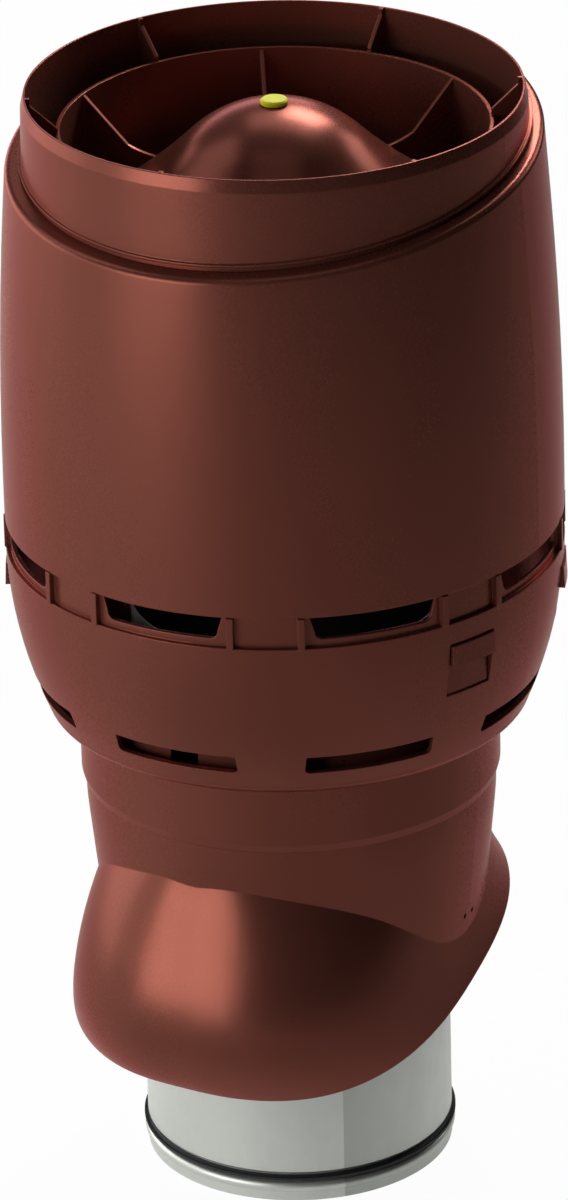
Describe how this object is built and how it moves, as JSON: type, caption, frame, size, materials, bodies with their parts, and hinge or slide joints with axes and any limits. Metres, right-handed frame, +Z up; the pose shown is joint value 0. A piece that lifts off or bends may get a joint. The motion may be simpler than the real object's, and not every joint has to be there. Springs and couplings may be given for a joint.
{
  "type": "roof ventilation outlet",
  "caption": "Insulated roof exhaust outlet: hood with slanted shoulder and rain dome, slotted drain bowl, sloped skirt for the roof pass-through and round duct with lip seal.",
  "frame": {"origin": "centre of the duct's lower end", "axes": "+Z up along the duct, -Y down the roof's slope"},
  "size_m": [0.285, 0.285, 0.586],
  "materials": {
    "red_plastic": "satin moulded",
    "plug_plastic": "smooth moulded",
    "insulation": "soft cellular",
    "galvanised_steel": "zinc coated",
    "seal_rubber": "matt"
  },
  "bodies": {
    "root": {"hood_shell": "red_plastic", "outlet_insert": "red_plastic", "dome_plug": "plug_plastic", "drain_bowl": "red_plastic", "casing": "red_plastic", "insulation_sleeve": "insulation", "duct_pipe": "galvanised_steel", "pipe_seal": "seal_rubber"}
  },
  "joints": []
}
